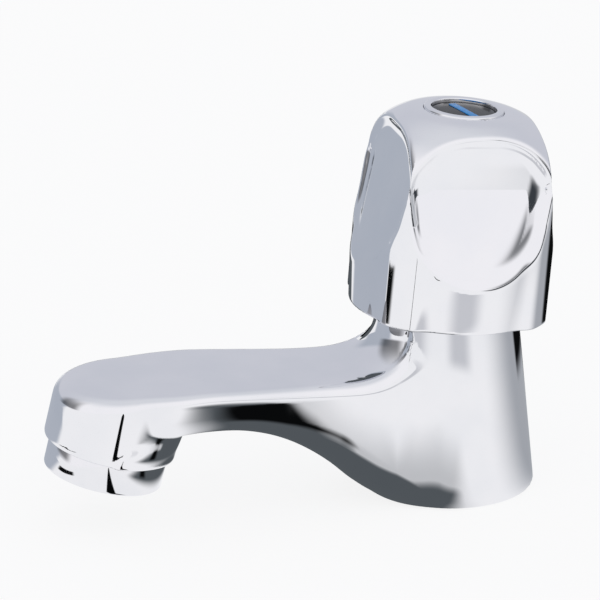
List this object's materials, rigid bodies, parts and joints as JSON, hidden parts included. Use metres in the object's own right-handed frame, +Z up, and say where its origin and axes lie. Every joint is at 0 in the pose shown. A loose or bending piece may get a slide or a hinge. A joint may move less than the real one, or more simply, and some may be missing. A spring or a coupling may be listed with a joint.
{
  "type": "basin pillar tap",
  "caption": "Chrome pillar basin tap with a flat swept spout, angled aerator nozzle, screw-down headwork and a scooped four-sided knob.",
  "frame": {"origin": "on the axis of the threaded tail, in the plane of the basin top that the base stands on", "axes": "+Z up, the spout points along -Y, +X to the right of someone behind the tap who looks along the spout"},
  "size_m": [0.0568, 0.1456, 0.1637],
  "materials": {
    "chrome_casting": "mirror-polished chrome plate over a brass casting",
    "chrome_knob": "mirror-polished chrome plate over die-cast zinc",
    "chrome_trim": "bright chrome plate on a turned ring",
    "bare_brass": "turned, uncoated",
    "black_rubber": "moulded, matt",
    "white_acetal": "moulded, low sheen",
    "grey_acetal": "moulded, low sheen",
    "red_fibre": "pressed fibre, matt",
    "stainless": "bright drawn",
    "black_gloss": "gloss moulded",
    "cold_blue": "gloss print"
  },
  "bodies": {
    "body": {"tap_body": "chrome_casting", "valve_seat": "bare_brass", "headwork_bonnet": "bare_brass", "bonnet_gasket": "red_fibre", "nozzle_collar": "chrome_trim", "aerator_cartridge": "grey_acetal", "flow_straightener": "grey_acetal", "aerator_screens": "stainless", "aerator_washer": "black_rubber", "base_seal": "black_rubber", "deck_washer": "black_rubber", "thrust_plate": "stainless", "backnut": "bare_brass"},
    "knob": {"handle_shell": "chrome_knob", "handle_insert": "white_acetal", "screw_washer": "stainless", "handle_screw": "stainless", "index_bezel": "chrome_trim", "index_disc": "black_gloss", "index_mark": "cold_blue", "spindle": "bare_brass", "spindle_o_rings": "black_rubber", "thrust_washer": "white_acetal", "spindle_circlip": "stainless"},
    "jumper": {"plunger": "bare_brass", "jumper_washer": "black_rubber", "washer_screw": "stainless"}
  },
  "joints": [
    {"name": "knob_turn", "type": "hinge", "parent": "body", "child": "knob", "pos_m": [0, -0.0058, 0], "axis": [0, 0.0785, 0.9969], "range_deg": [0, 765]},
    {"name": "jumper_lift", "type": "slide", "parent": "body", "child": "jumper", "axis": [0, 0.0785, 0.9969], "range_m": [0, 0.0043]}
  ],
  "couplings": [
    {"joint": "jumper_lift", "follows": "knob_turn", "m_per_rad": 0.00031831}
  ]
}
